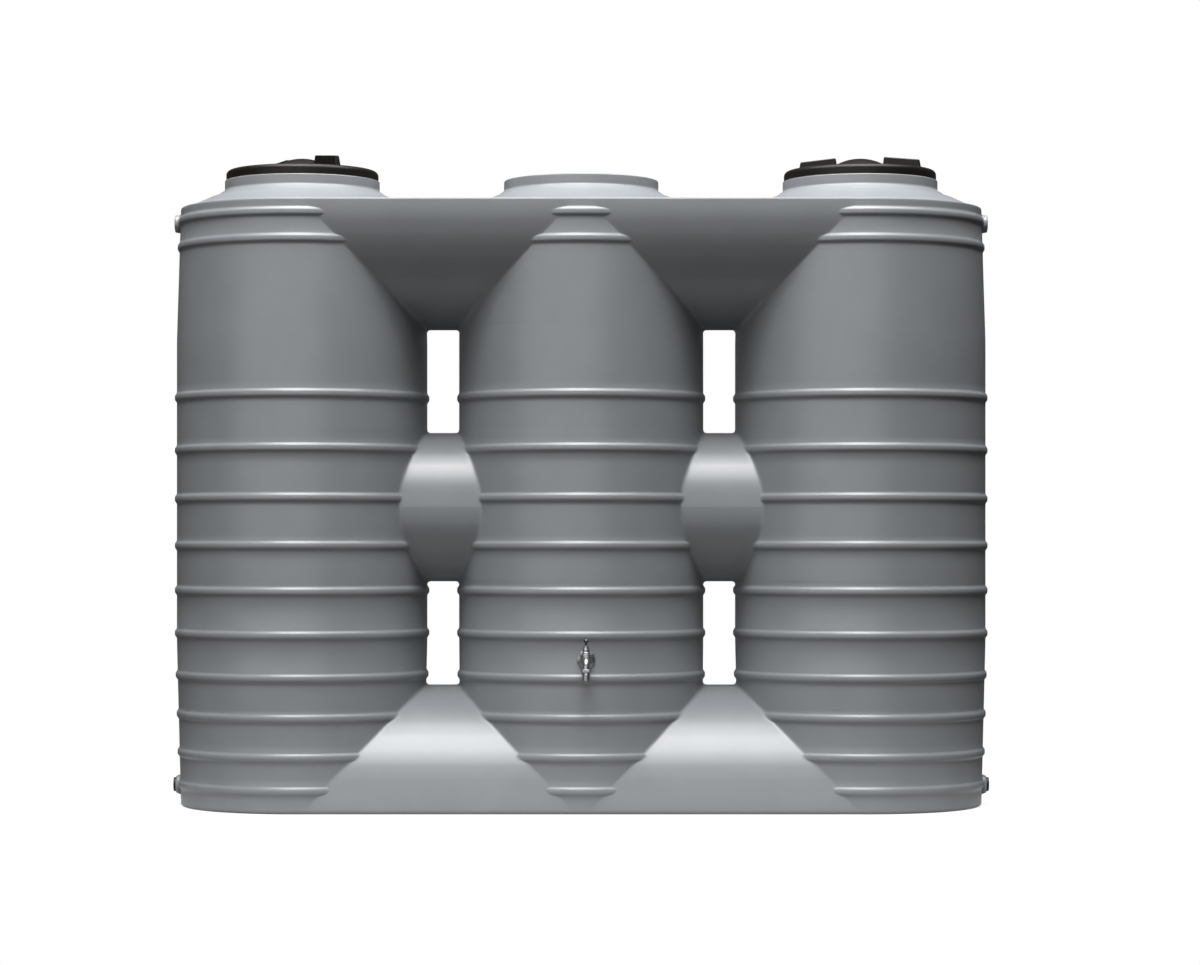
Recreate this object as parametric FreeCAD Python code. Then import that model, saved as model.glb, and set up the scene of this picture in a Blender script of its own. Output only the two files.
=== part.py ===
"""Slimline rainwater tank: three upright moulded barrels joined side by side into one hollow shell.

Millimetres, +X along the row of barrels, +Z up. The origin is on the floor under the middle barrel.
The real shell is one moulding. Here it is cut where its forms meet, so each form is a solid of its own.
Each barrel is also cut at the mould's upright parting plane, and across: the middle one at the height of the
links, the end ones below and above the links.
"""
import FreeCAD, Part
import math
import os

V = FreeCAD.Vector
UP = V(0, 0, 1)
ALONG = V(1, 0, 0)
FRONT = V(0, -1, 0)

# Shell
WALL = 6.0
MID_BARREL_R = 362.0
END_BARREL_R = 370.0
WINDOW_GAP = 95.0
BARREL_PITCH = MID_BARREL_R + WINDOW_GAP + END_BARREL_R
MID_BARREL_TAPER = 5.0
END_BARREL_TAPER = 12.0
TAPER_LOW_Z = 490.0
TAPER_HIGH_Z = 1370.0
SHOULDER_Z = 1763.0
EDGE_CUT = 18.0
JOINT_SET_IN = 1.0
HEADER_R = min(MID_BARREL_R - MID_BARREL_TAPER, END_BARREL_R - END_BARREL_TAPER) - JOINT_SET_IN
VAULT_R = HEADER_R
LINK_R = 220.0
LINK_Z = 882.0
WAIST_HALF = 275.0

# Moulded hoops round each barrel, closer together towards the floor where the water presses most
HOOP_Z = [65.0, 160.0, 272.0, 387.0, 510.0, 636.0, 768.0, 906.0, 1049.0, 1204.0, 1648.0, 1724.0]
HOOP_PROUD = 6.0
HOOP_HEIGHT = 32.0
HOOP_CREST = 11.0

# Shoulder cone and neck
CONE_BASE_INSET = EDGE_CUT
CONE_RISE = 52.0
NECK_R = 229.0
NECK_WALL = 8.0
NECK_RISE = 32.0
LEDGE_DEPTH = 10.0
LEDGE_WIDTH = 10.0
LEDGE_THICK = 6.0

# Screw lid
LID_R = 225.0
LID_SEAT_GAP = 0.3
LID_RIM_HEIGHT = 30.0
LID_EDGE_ROUND = 14.0
LID_WALL = 5.0
LID_SKIRT_GAP = 6.0
LID_SKIRT_REACH = 22.0
DOME_R = 100.0
DOME_RISE = 38.0
GRIP_INNER_R = 66.0
GRIP_OUTER_R = 183.0
GRIP_THICK = 20.0
GRIP_RISE = 42.0
GRIP_FALL = 10.0
GRIP_DRAFT = 6.0
LID_TURN = {"left": -50.0, "right": -12.0}

# Leaf strainer
STRAINER_GAP = 1.0
STRAINER_THICK = 4.0
STRAINER_MOUTH_R = 163.0
STRAINER_FLOOR_R = 143.0
STRAINER_DEPTH = 60.0
DENT_R = 34.0
DENT_REACH = 22.0
LUG_SLOT_R = 200.0
LUG_SLOT_LENGTH = 33.0
LUG_SLOT_WIDTH = 23.0
GRATE_R = 128.0
GRATE_THICK = 3.0
GRATE_SPOKES = 8
SLOT_PITCH = 12.0
SLOT_WIDTH = 5.0
SPOKE_WIDTH = 7.0

# Overflow bosses high on the two ends, and plugged outlet bosses low on them
OVERFLOW_Z = 1722.0
OVERFLOW_R = 28.0
OVERFLOW_TIP_R = 25.0
OVERFLOW_PROUD = 18.0
OVERFLOW_BORE_R = 17.0
OUTLET_Z = 60.0
OUTLET_R = 31.0
OUTLET_TIP_R = 25.0
OUTLET_PROUD = 15.0
OUTLET_BORE_R = 17.0
PLUG_HEAD_R = 21.0
PLUG_HEAD_THICK = 7.0
PLUG_RECESS = 10.0
PLUG_GAP = 0.2

# Bib tap
TAP_X = 14.0
TAP_Z = 443.0
TAP_FLANGE_R = 26.0
TAP_FLANGE_THICK = 9.0
TAP_SHANK_R = 10.0
TAP_SHANK_GAP = 0.3
TAP_NUT_R = 19.0
TAP_NUT_THICK = 9.0
TAP_ARM_R = 12.0
TAP_ARM_REACH = 56.0
TAP_CHAMBER_R = 17.0
TAP_CHAMBER_HALF = 17.0
TAP_BEND_R = 20.0
TAP_SPOUT_R = 11.0
TAP_SPOUT_BORE_R = 8.0
TAP_SPOUT_DROP = 57.0
TAP_NOZZLE_LENGTH = 20.0
BONNET_R = 12.0
BONNET_TIP_R = 7.0
BONNET_RISE = 24.0
SPINDLE_R = 3.5
SPINDLE_RISE = 14.0
HANDLE_HALF = 27.0
HANDLE_WIDTH = 14.0
HANDLE_THICK = 11.0
HANDLE_GAP = 0.3

BARRELS = {
    "left": (-BARREL_PITCH, END_BARREL_R, END_BARREL_TAPER),
    "middle": (0.0, MID_BARREL_R, MID_BARREL_TAPER),
    "right": (BARREL_PITCH, END_BARREL_R, END_BARREL_TAPER),
}
ENDS = {"left": -1, "right": 1}
NECK_FOOT_Z = SHOULDER_Z + CONE_RISE
NECK_TOP_Z = NECK_FOOT_Z + NECK_RISE
LEDGE_TOP_Z = NECK_TOP_Z - LEDGE_DEPTH
NECK_BORE_R = NECK_R - NECK_WALL
LEDGE_BORE_R = NECK_BORE_R - LEDGE_WIDTH


def turned(outline, x=0.0, y=0.0):
    """Solid turned about an upright axis from (radius, height) points or ready edges."""
    if isinstance(outline[0], tuple):
        points = [V(r, 0, z) for r, z in outline]
        wire = Part.makePolygon(points + [points[0]])
    else:
        wire = Part.Wire(outline)
    solid = Part.Face(wire).revolve(V(0, 0, 0), UP, 360)
    solid.translate(V(x, y, 0))
    return solid


def arc(a, b, c):
    """Arc edge in the XZ plane through three (x, z) points."""
    return Part.Arc(V(a[0], 0, a[1]), V(b[0], 0, b[1]), V(c[0], 0, c[1])).toShape()


def line(a, b):
    """Straight edge in the XZ plane between two (x, z) points."""
    return Part.makeLine(V(a[0], 0, a[1]), V(b[0], 0, b[1]))


def block(x0, x1, y0, y1, z0, z1):
    return Part.makeBox(x1 - x0, y1 - y0, z1 - z0, V(x0, y0, z0))


def barrel_r(radius, taper, z):
    """Radius of a barrel's plain wall at a height: full in the middle, drawn in towards both ends."""
    if z < TAPER_LOW_Z:
        return radius - taper * (TAPER_LOW_Z - z) / TAPER_LOW_Z
    if z > TAPER_HIGH_Z:
        return radius - taper * (z - TAPER_HIGH_Z) / (SHOULDER_Z - TAPER_HIGH_Z)
    return radius


def barrel_outer(x, radius, taper):
    """Barrel with its hoops, as a full solid down to the floor."""
    def r(z):
        return barrel_r(radius, taper, z)

    points = [(0, 0), (r(0) - EDGE_CUT, 0), (r(EDGE_CUT), EDGE_CUT)]
    for z in HOOP_Z:
        low, high = z - HOOP_HEIGHT / 2, z + HOOP_HEIGHT / 2
        crest = r(z) + HOOP_PROUD
        points += [(r(low), low), (crest, z - HOOP_CREST / 2), (crest, z + HOOP_CREST / 2), (r(high), high)]
    for z in (TAPER_LOW_Z, TAPER_HIGH_Z):
        if all(abs(z - hoop) > HOOP_HEIGHT / 2 for hoop in HOOP_Z):
            points.append((r(z), z))
    top = SHOULDER_Z - EDGE_CUT
    points += [(r(top), top), (r(SHOULDER_Z) - CONE_BASE_INSET, SHOULDER_Z), (0, SHOULDER_Z)]
    points[1:-1] = sorted(points[1:-1], key=lambda point: point[1])
    return turned(points, x)


def barrel_void(x, radius, taper):
    """Inside of a barrel, with the hole in its roof that the shoulder cone stands round."""
    def r(z):
        return barrel_r(radius, taper, z) - WALL

    cut = inner_edge_cut()
    roof = SHOULDER_Z - WALL
    mouth = cone_bore_r(radius, taper)
    return turned([
        (0, WALL), (r(WALL) - cut, WALL), (r(WALL + cut), WALL + cut),
        (r(TAPER_LOW_Z), TAPER_LOW_Z), (r(TAPER_HIGH_Z), TAPER_HIGH_Z),
        (r(roof - cut), roof - cut), (r(roof) - cut, roof), (mouth, roof), (mouth, SHOULDER_Z), (0, SHOULDER_Z),
    ], x)


def inner_edge_cut():
    """Corner cut inside the shell that keeps its wall as thick there as elsewhere."""
    return EDGE_CUT - (2 - math.sqrt(2)) * WALL


def cone_base_r(radius, taper):
    return barrel_r(radius, taper, SHOULDER_Z) - CONE_BASE_INSET


def cone_wall(radius, taper):
    """Level thickness of the cone that gives it the shell's thickness square to its slope."""
    slope = math.atan2(NECK_FOOT_Z - SHOULDER_Z, cone_base_r(radius, taper) - NECK_R)
    return WALL / math.sin(slope)


def cone_bore_r(radius, taper):
    return cone_base_r(radius, taper) - cone_wall(radius, taper)


def along_row(outline, x0, x1):
    """Solid drawn along the row from an outline in the YZ plane."""
    wire = Part.Wire(outline)
    wire.translate(V(x0, 0, 0))
    return Part.Face(wire).extrude(V(x1 - x0, 0, 0))


def half_round(radius, axis_z, way, inset, cut, x0, x1):
    """Half cylinder along the row, its round side way (1 up, -1 down) from its flat, which is inset from its axis."""
    flat_z = axis_z + way * inset
    side_z = flat_z + way * cut
    side_y = math.sqrt(radius ** 2 - (inset + cut) ** 2)
    flat_y = radius - cut
    edges = [Part.Arc(V(0, -side_y, side_z), V(0, 0, axis_z + way * radius), V(0, side_y, side_z)).toShape()]
    corners = [V(0, side_y, side_z), V(0, flat_y, flat_z), V(0, -flat_y, flat_z), V(0, -side_y, side_z)]
    edges += [Part.makeLine(a, b) for a, b in zip(corners, corners[1:])]
    return along_row(edges, x0, x1)


def shell():
    """The moulded shell: barrels, and the three forms that join each pair of them."""
    reach = BARREL_PITCH
    outers = {side: barrel_outer(*values) for side, values in BARRELS.items()}
    for side in ENDS:
        outers[side] = outers[side].cut(outers["middle"])
    voids = [barrel_void(*values) for values in BARRELS.values()]
    voids += [
        half_round(HEADER_R - WALL, SHOULDER_Z, -1, WALL, inner_edge_cut(), -reach, reach),
        half_round(VAULT_R - WALL, 0, 1, WALL, inner_edge_cut(), -reach, reach),
        Part.makeCylinder(LINK_R - WALL, 2 * reach, V(-reach, 0, LINK_Z), ALONG),
    ]
    voids += port_bores() + [tap_bore()]
    everywhere = 2 * BARREL_PITCH
    below = block(-everywhere, everywhere, -everywhere, everywhere, -WALL, WALL)
    vault = half_round(VAULT_R, 0, 1, 0, EDGE_CUT, -reach, reach)
    pieces = {}
    for side, outer in outers.items():
        hollow = outer.cut([below] + voids)
        levels = [("lower", 0, LINK_Z), ("upper", LINK_Z, SHOULDER_Z)]
        if side in ENDS:
            waist = (LINK_Z - WAIST_HALF, LINK_Z + WAIST_HALF)
            levels = [("lower", 0, waist[0]), ("waist", *waist), ("upper", waist[1], SHOULDER_Z)]
        for level, z0, z1 in levels:
            front = block(-everywhere, everywhere, -everywhere, 0, z0, z1)
            back = block(-everywhere, everywhere, 0, everywhere, z0, z1)
            pieces[f"{side}_barrel_{level}_front"] = hollow.common(front)
            pieces[f"{side}_barrel_{level}_back"] = hollow.common(back)
    barrels = list(outers.values())
    for side, way in ENDS.items():
        x0, x1 = sorted((0.0, way * reach))
        header = half_round(HEADER_R, SHOULDER_Z, -1, 0, EDGE_CUT, x0, x1)
        link = Part.makeCylinder(LINK_R, reach, V(x0, 0, LINK_Z), ALONG)
        base = half_round(VAULT_R, 0, 1, 0, EDGE_CUT, x0, x1)
        pieces[f"{side}_header"] = header.cut(barrels + voids)
        pieces[f"{side}_link"] = link.cut(barrels + voids)
        pieces[f"{side}_base_vault"] = base.cut([below] + barrels + voids)
    floor = outers["middle"].fuse([outers["left"], outers["right"], vault]).common(below)
    pieces["tank_floor"] = floor.removeSplitter()
    return pieces


def shoulder(x, radius, taper):
    """Cone from the barrel's edge up to the neck."""
    base = cone_base_r(radius, taper)
    thick = cone_wall(radius, taper)
    return turned([(base, SHOULDER_Z), (NECK_R, NECK_FOOT_Z),
                   (NECK_R - thick, NECK_FOOT_Z), (base - thick, SHOULDER_Z)], x)


def neck(x):
    """Neck ring with the ledge inside it that a strainer rests on."""
    under = LEDGE_TOP_Z - LEDGE_THICK
    return turned([
        (NECK_R, NECK_FOOT_Z), (NECK_R, NECK_TOP_Z), (NECK_BORE_R, NECK_TOP_Z), (NECK_BORE_R, LEDGE_TOP_Z),
        (LEDGE_BORE_R, LEDGE_TOP_Z), (LEDGE_BORE_R, under), (NECK_BORE_R, under), (NECK_BORE_R, NECK_FOOT_Z),
    ], x)


def lid(x, turn):
    """Screw lid: rim that sits on the neck, skirt that goes down into it, dome and two grips."""
    seat = NECK_TOP_Z + LID_SEAT_GAP
    top = seat + LID_RIM_HEIGHT
    deck = top - LID_WALL
    skirt_r = LEDGE_BORE_R - LID_SKIRT_GAP
    skirt_foot = seat - LID_SKIRT_REACH
    dome_sphere_r = (DOME_R ** 2 + DOME_RISE ** 2) / (2 * DOME_RISE)
    half = DOME_R / 2
    dome_mid = top + DOME_RISE - dome_sphere_r + math.sqrt(dome_sphere_r ** 2 - half ** 2)
    corner = LID_EDGE_ROUND * (1 - math.sqrt(0.5))
    body = turned([
        line((LID_R, seat), (LID_R, top - LID_EDGE_ROUND)),
        arc((LID_R, top - LID_EDGE_ROUND), (LID_R - corner, top - corner), (LID_R - LID_EDGE_ROUND, top)),
        line((LID_R - LID_EDGE_ROUND, top), (DOME_R, top)),
        arc((DOME_R, top), (half, dome_mid), (0, top + DOME_RISE)),
        line((0, top + DOME_RISE), (0, deck)),
        line((0, deck), (skirt_r - LID_WALL, deck)),
        line((skirt_r - LID_WALL, deck), (skirt_r - LID_WALL, skirt_foot)),
        line((skirt_r - LID_WALL, skirt_foot), (skirt_r, skirt_foot)),
        line((skirt_r, skirt_foot), (skirt_r, seat)),
        line((skirt_r, seat), (LID_R, seat)),
    ])
    grips = [grip(top, way) for way in (-1, 1)]
    whole = body.fuse(grips).removeSplitter()
    whole.rotate(V(0, 0, 0), UP, turn)
    whole.translate(V(x, 0, 0))
    return whole


def grip(top, way):
    """Upright grip block on the lid, lower at its outer end, drawn in a little towards its top to leave the mould."""
    low, high = (GRIP_INNER_R, GRIP_OUTER_R), (GRIP_INNER_R + GRIP_DRAFT, GRIP_OUTER_R - GRIP_DRAFT)
    foot, crest = top - LID_WALL / 2, top + GRIP_RISE
    profiles = []
    for (inner, outer), thick, z, fall in ((low, GRIP_THICK, foot, 0.0),
                                           (high, GRIP_THICK - GRIP_DRAFT, crest, GRIP_FALL)):
        half = thick / 2
        corners = [V(inner, -half, z), V(outer, -half, z - fall), V(outer, half, z - fall), V(inner, half, z)]
        profiles.append(Part.makePolygon(corners + [corners[0]]))
    block_shape = Part.makeLoft(profiles, True, True)
    if way < 0:
        block_shape.rotate(V(0, 0, 0), UP, 180)
    return block_shape


def strainer_dish():
    """Leaf strainer: a flange on the neck's ledge, a dished wall with two finger dents, and an open floor."""
    flange_r = NECK_BORE_R - STRAINER_GAP
    top = LEDGE_TOP_Z + STRAINER_THICK
    floor_z = top - STRAINER_DEPTH
    outer = Part.makeCone(STRAINER_FLOOR_R, STRAINER_MOUTH_R, STRAINER_DEPTH, V(0, 0, floor_z), UP)
    inner = Part.makeCone(STRAINER_FLOOR_R - STRAINER_THICK, STRAINER_MOUTH_R - STRAINER_THICK,
                          STRAINER_DEPTH, V(0, 0, floor_z), UP)
    flange = Part.makeCylinder(flange_r, STRAINER_THICK, V(0, 0, LEDGE_TOP_Z), UP)
    for way in (-1, 1):
        centre = V(way * (STRAINER_MOUTH_R - DENT_REACH + DENT_R), 0, floor_z)
        outer = outer.cut(Part.makeCylinder(DENT_R, STRAINER_DEPTH, centre, UP))
        inner = inner.cut(Part.makeCylinder(DENT_R + STRAINER_THICK, STRAINER_DEPTH, centre, UP))
    dish = outer.fuse(flange).cut(inner)
    for way in (-1, 1):
        dish = dish.cut(lug_slot(way * LUG_SLOT_R))
    return dish.removeSplitter()


def lug_slot(x):
    """Oval hole through the strainer's flange, longer along the row."""
    half = (LUG_SLOT_LENGTH - LUG_SLOT_WIDTH) / 2
    r = LUG_SLOT_WIDTH / 2
    ends = [Part.makeCylinder(r, STRAINER_THICK, V(x + way * half, 0, LEDGE_TOP_Z), UP) for way in (-1, 1)]
    middle = block(x - half, x + half, -r, r, LEDGE_TOP_Z, LEDGE_TOP_Z + STRAINER_THICK)
    return middle.fuse(ends)


def strainer_grate():
    """Slotted floor. Slots run beside each spoke and stop on the line halfway to the next one."""
    top = LEDGE_TOP_Z + STRAINER_THICK - STRAINER_DEPTH
    foot = top - GRATE_THICK
    plate = Part.makeCylinder(STRAINER_FLOOR_R, GRATE_THICK, V(0, 0, foot), UP)
    half_sector = math.pi / GRATE_SPOKES
    slots = []
    count = int(GRATE_R * math.sin(half_sector) / SLOT_PITCH)
    for row in range(count):
        near = SPOKE_WIDTH / 2 + row * SLOT_PITCH
        far = near + SLOT_WIDTH
        start = (far + SLOT_WIDTH / 2) / math.tan(half_sector)
        end = math.sqrt(GRATE_R ** 2 - far ** 2)
        if end - start < SLOT_WIDTH:
            break
        for side in (-1, 1):
            y0, y1 = sorted((side * near, side * far))
            for spoke in range(GRATE_SPOKES):
                slot = block(start, end, y0, y1, foot, top)
                slot.rotate(V(0, 0, 0), UP, spoke * 360 / GRATE_SPOKES)
                slots.append(slot)
    return plate.cut(slots)


def wall_x(way, z):
    """Place of the end wall's outer face along the row at a height."""
    return way * (BARREL_PITCH + barrel_r(END_BARREL_R, END_BARREL_TAPER, z))


def port_bores():
    """Holes through the end walls for the overflow and outlet bosses."""
    return [Part.makeCylinder(bore, 4 * WALL, V(wall_x(way, z) - way * 2 * WALL, 0, z), ALONG * way)
            for way in ENDS.values()
            for z, bore in ((OVERFLOW_Z, OVERFLOW_BORE_R), (OUTLET_Z, OUTLET_BORE_R))]


def boss(way, z, base_r, tip_r, proud, bore_r, end_barrel):
    """Moulded round boss on an end wall, narrower at its tip, with a hole through it into the tank."""
    sunk = WALL
    start = wall_x(way, z) - way * sunk
    slope = (base_r - tip_r) / proud
    body = Part.makeCone(base_r + slope * sunk, tip_r, proud + sunk, V(start, 0, z), ALONG * way)
    hole = Part.makeCylinder(bore_r, proud + 2 * sunk, V(start - way * sunk, 0, z), ALONG * way)
    return body.cut([end_barrel, hole])


def outlet_plug(way):
    """Black plug screwed into an outlet boss: a round head on its tip and a hollow shank in its hole."""
    tip = wall_x(way, OUTLET_Z) + way * OUTLET_PROUD
    shank_r = OUTLET_BORE_R - PLUG_GAP
    shank = Part.makeCylinder(shank_r, OUTLET_PROUD, V(tip - way * OUTLET_PROUD, 0, OUTLET_Z), ALONG * way)
    head = Part.makeCylinder(PLUG_HEAD_R, PLUG_HEAD_THICK, V(tip, 0, OUTLET_Z), ALONG * way)
    recess_face = tip + way * (PLUG_HEAD_THICK - PLUG_RECESS)
    recess = Part.makeCylinder(OUTLET_BORE_R / 2, PLUG_RECESS, V(recess_face, 0, OUTLET_Z), ALONG * way)
    return shank.fuse(head).cut(recess).removeSplitter()


def tap_wall_y():
    """Front face of the middle barrel where the tap is, on the line through its centre."""
    r = barrel_r(MID_BARREL_R, MID_BARREL_TAPER, TAP_Z)
    return -math.sqrt(r ** 2 - TAP_X ** 2)


def tap_bore():
    return Part.makeCylinder(TAP_SHANK_R + TAP_SHANK_GAP, 4 * WALL, V(TAP_X, tap_wall_y() + 2 * WALL, TAP_Z), FRONT)


def tap():
    """Bib tap: flange, body with a turned-down spout, bonnet, spindle with its cross handle, and back nut."""
    face = tap_wall_y()
    arm = V(TAP_X, face, TAP_Z)
    axis_y = face - TAP_ARM_REACH
    inner_r = barrel_r(MID_BARREL_R, MID_BARREL_TAPER, TAP_Z) - WALL
    inner_face = -math.sqrt(inner_r ** 2 - (abs(TAP_X) + TAP_NUT_R) ** 2)
    nut_y = inner_face + TAP_SHANK_GAP + TAP_NUT_THICK
    rim = TAP_FLANGE_THICK / 3
    behind = WALL / 2
    flange = Part.makeCylinder(TAP_FLANGE_R, rim + behind, arm - FRONT * behind, FRONT)
    dome = Part.makeCone(TAP_FLANGE_R, TAP_ARM_R + rim, TAP_FLANGE_THICK - rim, arm + FRONT * rim, FRONT)
    arm_hole = Part.makeCylinder(TAP_ARM_R, TAP_FLANGE_THICK + behind, arm - FRONT * behind, FRONT)
    barrel = barrel_outer(*BARRELS["middle"])
    pieces = {"tap_flange": flange.fuse(dome).removeSplitter().cut([arm_hole, barrel])}
    shank = Part.makeCylinder(TAP_SHANK_R, nut_y - face + behind, V(TAP_X, nut_y + behind, TAP_Z), FRONT)
    neck_arm = Part.makeCylinder(TAP_ARM_R, TAP_ARM_REACH + behind, arm - FRONT * behind, FRONT).cut(barrel)
    chamber = Part.makeCylinder(TAP_CHAMBER_R, 2 * TAP_CHAMBER_HALF,
                                V(TAP_X, axis_y, TAP_Z - TAP_CHAMBER_HALF), UP)
    body = neck_arm.fuse([shank, chamber, tap_spout(axis_y)])
    pieces["tap_body"] = body.removeSplitter()
    nozzle_foot = V(TAP_X, axis_y - TAP_CHAMBER_R - TAP_BEND_R, TAP_Z - TAP_SPOUT_DROP)
    nozzle, nozzle_bore = [Part.makeCylinder(r, TAP_NOZZLE_LENGTH, nozzle_foot, UP)
                           for r in (TAP_SPOUT_R, TAP_SPOUT_BORE_R)]
    pieces["tap_nozzle"] = nozzle.cut(nozzle_bore)
    pieces["tap_backnut"] = hexagon(TAP_NUT_R, TAP_NUT_THICK, nut_y)
    bonnet_z = TAP_Z + TAP_CHAMBER_HALF
    pieces["tap_bonnet"] = Part.makeCone(BONNET_R, BONNET_TIP_R, BONNET_RISE, V(TAP_X, axis_y, bonnet_z), UP)
    pieces["tap_handle"] = tap_handle(axis_y, bonnet_z + BONNET_RISE + HANDLE_GAP)
    return pieces


def tap_spout(axis_y):
    """Spout: out of the chamber, round a bend, and down to the open nozzle."""
    start = V(TAP_X, axis_y, TAP_Z)
    bend_start = start + FRONT * TAP_CHAMBER_R
    bend_end = bend_start + FRONT * TAP_BEND_R - UP * TAP_BEND_R
    middle = bend_start + FRONT * TAP_BEND_R * math.sqrt(0.5) - UP * TAP_BEND_R * (1 - math.sqrt(0.5))
    foot = V(TAP_X, bend_end.y, TAP_Z - TAP_SPOUT_DROP + TAP_NOZZLE_LENGTH)
    path = Part.Wire([Part.makeLine(start, bend_start), Part.Arc(bend_start, middle, bend_end).toShape(),
                      Part.makeLine(bend_end, foot)])
    return path.makePipeShell([Part.Wire(Part.makeCircle(TAP_SPOUT_R, start, FRONT))], True, False)


def hexagon(radius, thick, y):
    """Six-sided nut on the tap's shank, its near face at y, with a hole for the shank."""
    corners = [V(TAP_X + radius * math.cos(math.pi / 3 * n), y, TAP_Z + radius * math.sin(math.pi / 3 * n))
               for n in range(6)]
    nut = Part.Face(Part.makePolygon(corners + [corners[0]])).extrude(FRONT * thick)
    return nut.cut(Part.makeCylinder(TAP_SHANK_R + TAP_SHANK_GAP, thick, V(TAP_X, y, TAP_Z), FRONT))


def tap_handle(axis_y, foot):
    """Spindle and cross bar. At rest the bar points at the wall, so from the front only its end shows."""
    spindle = Part.makeCylinder(SPINDLE_R, SPINDLE_RISE, V(TAP_X, axis_y, foot), UP)
    half = HANDLE_WIDTH / 2
    bar_z = foot + SPINDLE_RISE - HANDLE_THICK / 2
    bar = block(TAP_X - half, TAP_X + half, axis_y - HANDLE_HALF + half, axis_y + HANDLE_HALF - half,
                bar_z, bar_z + HANDLE_THICK)
    ends = [Part.makeCylinder(half, HANDLE_THICK, V(TAP_X, axis_y + way * (HANDLE_HALF - half), bar_z), UP)
            for way in (-1, 1)]
    return bar.fuse(ends + [spindle]).removeSplitter()


def build():
    pieces = shell()
    for side, (x, radius, taper) in BARRELS.items():
        pieces[f"{side}_shoulder"] = shoulder(x, radius, taper)
        pieces[f"{side}_neck"] = neck(x)
    for side, way in ENDS.items():
        x, radius, taper = BARRELS[side]
        outer = barrel_outer(x, radius, taper)
        pieces[f"{side}_lid"] = lid(x, LID_TURN[side])
        pieces[f"{side}_overflow_boss"] = boss(way, OVERFLOW_Z, OVERFLOW_R, OVERFLOW_TIP_R, OVERFLOW_PROUD,
                                               OVERFLOW_BORE_R, outer)
        pieces[f"{side}_outlet_boss"] = boss(way, OUTLET_Z, OUTLET_R, OUTLET_TIP_R, OUTLET_PROUD,
                                             OUTLET_BORE_R, outer)
        pieces[f"{side}_outlet_plug"] = outlet_plug(way)
    pieces["strainer_dish"] = strainer_dish()
    pieces["strainer_grate"] = strainer_grate()
    pieces.update(tap())
    return pieces


def main():
    os.makedirs("parts", exist_ok=True)
    total = 0.0
    for name, shape in build().items():
        shape.exportStep(f"parts/{name}.step")
        total += shape.Volume
        print(f"{name}: {len(shape.Solids)} solid, valid {shape.isValid()}, {shape.Volume / 1e6:.3f} litres")
    print(f"solid material in all: {total / 1e6:.1f} litres")


main()
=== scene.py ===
import math

import bpy
import bmesh
import numpy as np
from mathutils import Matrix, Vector


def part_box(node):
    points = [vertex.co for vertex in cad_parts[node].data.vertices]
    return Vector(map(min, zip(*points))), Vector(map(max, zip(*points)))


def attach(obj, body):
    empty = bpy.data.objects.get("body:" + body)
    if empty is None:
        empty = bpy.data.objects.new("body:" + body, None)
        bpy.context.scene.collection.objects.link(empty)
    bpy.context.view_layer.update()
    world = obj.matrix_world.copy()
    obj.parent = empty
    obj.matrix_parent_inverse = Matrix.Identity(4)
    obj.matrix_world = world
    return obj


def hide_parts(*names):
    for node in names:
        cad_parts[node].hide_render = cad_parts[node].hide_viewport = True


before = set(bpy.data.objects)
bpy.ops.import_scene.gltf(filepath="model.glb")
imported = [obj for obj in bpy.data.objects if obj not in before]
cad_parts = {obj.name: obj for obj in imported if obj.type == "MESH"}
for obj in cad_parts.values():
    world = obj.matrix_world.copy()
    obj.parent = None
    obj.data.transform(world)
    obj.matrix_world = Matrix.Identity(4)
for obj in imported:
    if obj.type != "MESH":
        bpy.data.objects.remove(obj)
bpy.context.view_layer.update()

mm = 0.001


mergeDistance = 0.02 * mm


def report(text):
    print("tank:", text)


# sRGB hex to the linear colour that shaders take
def linear(hexColour):
    channels = [int(hexColour[i:i + 2], 16) / 255 for i in (1, 3, 5)]
    return [c / 12.92 if c <= 0.04045 else ((c + 0.055) / 1.055) ** 2.4 for c in channels] + [1.0]


# One node with its settings, its plain input values and the links into it
def addNode(tree, kind, inputs=None, links=None, **settings):
    node = tree.nodes.new(kind)
    for name, value in settings.items():
        setattr(node, name, value)
    for key, value in (inputs or {}).items():
        node.inputs[key].default_value = value
    for key, source in (links or {}).items():
        tree.links.new(source, node.inputs[key])
    return node


# First output of a node whose inputs, in their order, are plain values or other nodes' outputs
def wired(tree, kind, *values, **settings):
    links = {i: value for i, value in enumerate(values) if isinstance(value, bpy.types.NodeSocket)}
    inputs = {i: value for i, value in enumerate(values) if i not in links}
    return addNode(tree, kind, inputs, links, **settings).outputs[0]


def maths(tree, operation, *values):
    return wired(tree, "ShaderNodeMath", *values, operation=operation)


def addObject(name, data):
    thing = bpy.data.objects.new(name, data)
    bpy.context.scene.collection.objects.link(thing)
    return thing


def smoothObject(name, data):
    data.polygons.foreach_set("use_smooth", [True] * len(data.polygons))
    return addObject(name, data)


def meshObject(name, points, faces):
    data = bpy.data.meshes.new(name)
    data.from_pydata([tuple(p) for p in points], [], faces)
    data.update()
    return smoothObject(name, data)


# Points from coordinates given for all of them, or row by row, or column by column
def stacked(x, y, z):
    return np.stack(np.broadcast_arrays(x, y, z), axis=-1)


# Angles of evenly spaced columns round a full turn
def fullTurn(columns):
    return np.arange(columns) * 2 * math.pi / columns


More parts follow.
